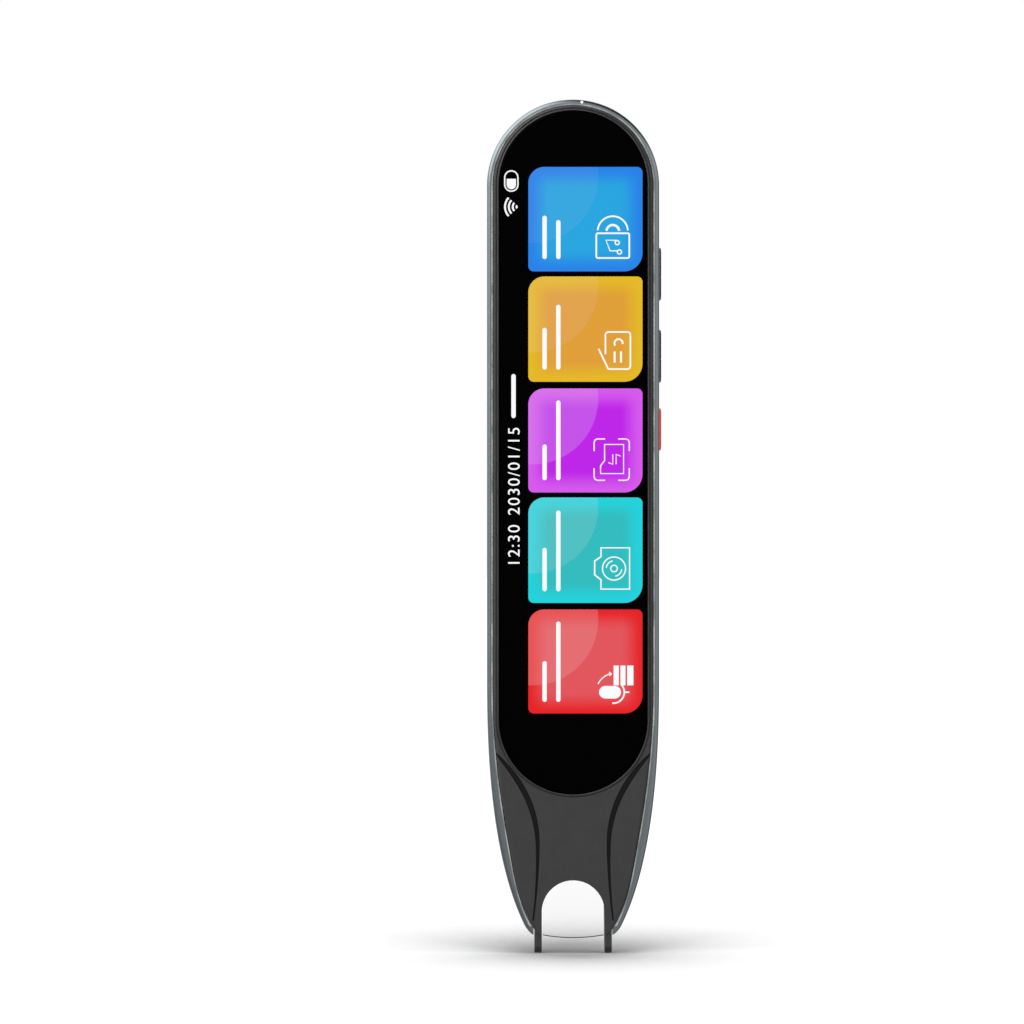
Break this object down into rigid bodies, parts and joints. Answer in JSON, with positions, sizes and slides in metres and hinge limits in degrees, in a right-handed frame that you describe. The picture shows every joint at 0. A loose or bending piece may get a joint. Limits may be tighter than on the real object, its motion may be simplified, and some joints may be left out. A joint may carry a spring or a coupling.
{
  "type": "handheld translator",
  "caption": "Pen-shaped scanning translator with a long touch screen, crowned metal shell, side keys, rear camera plate and a sprung scanning fork.",
  "frame": {"origin": "middle of the bounding box at its lowest point, the fork's tips", "axes": "+Z along the body from the fork's tips to the round top end, -Y out of the screen, +X out of the side with the keys"},
  "size_m": [0.0318, 0.0119, 0.1555],
  "materials": {
    "shell": "satin anodised grey-green metal",
    "frame": "fine matt moulded plastic",
    "bezel": "satin plastic",
    "screen_glass": "polished cover glass over a lit panel",
    "panel": "display panel",
    "flex": "polyimide film",
    "plate_metal": "pressed sheet",
    "steel": "plain steel",
    "cell": "foil pouch",
    "board": "solder-masked glass-fibre board",
    "part_plastic": "moulded plastic",
    "key_dark": "fine matt moulded plastic",
    "key_red": "satin red",
    "light": "milky diffusing plastic",
    "black_part": "black moulded plastic",
    "camera_black": "black plate",
    "trim_red": "bright red trim",
    "lens": "coated lens",
    "window": "clear moulded window"
  },
  "bodies": {
    "housing": {"rear_housing": "shell", "front_frame": "frame", "glass_bezel": "bezel", "cover_glass": "screen_glass", "display_panel": "panel", "display_flex": "flex", "mid_plate": "plate_metal", "screws": "steel", "battery": "cell", "main_board": "board", "shield_can": "steel", "side_switches": "part_plastic", "card_socket": "steel", "usb_port": "steel", "microphone": "part_plastic", "status_light": "light", "speaker": "black_part", "speaker_gasket": "black_part", "speaker_mesh": "black_part", "camera_plate": "camera_black", "camera_trim_ring": "trim_red", "camera_bezel": "camera_black", "camera_lens": "lens", "rear_camera": "black_part", "scan_tunnel": "black_part", "scan_window": "window", "light_diffuser": "light", "scan_board": "board", "scan_camera": "black_part", "scan_lens": "lens", "scan_flex": "flex", "nib_springs": "steel", "nib_switch": "part_plastic"},
    "upper_voice_key": {"upper_voice_key": "key_dark"},
    "lower_voice_key": {"lower_voice_key": "key_dark"},
    "power_key": {"power_key": "key_red"},
    "fork": {"scan_nib": "frame"}
  },
  "joints": [
    {"name": "upper_voice_key_press", "type": "slide", "parent": "housing", "child": "upper_voice_key", "axis": [-1, 0, 0], "range_m": [0, 0.00035], "stiffness_N_per_m": 2500, "springref_m": -0.0003},
    {"name": "lower_voice_key_press", "type": "slide", "parent": "housing", "child": "lower_voice_key", "axis": [-1, 0, 0], "range_m": [0, 0.00035], "stiffness_N_per_m": 2500, "springref_m": -0.0003},
    {"name": "power_key_press", "type": "slide", "parent": "housing", "child": "power_key", "axis": [-1, 0, 0], "range_m": [0, 0.00035], "stiffness_N_per_m": 2500, "springref_m": -0.0003},
    {"name": "fork_press", "type": "slide", "parent": "housing", "child": "fork", "axis": [0, 0, 1], "range_m": [0, 0.0005], "stiffness_N_per_m": 2000, "springref_m": -0.0006, "deforming": ["nib_springs"]}
  ]
}
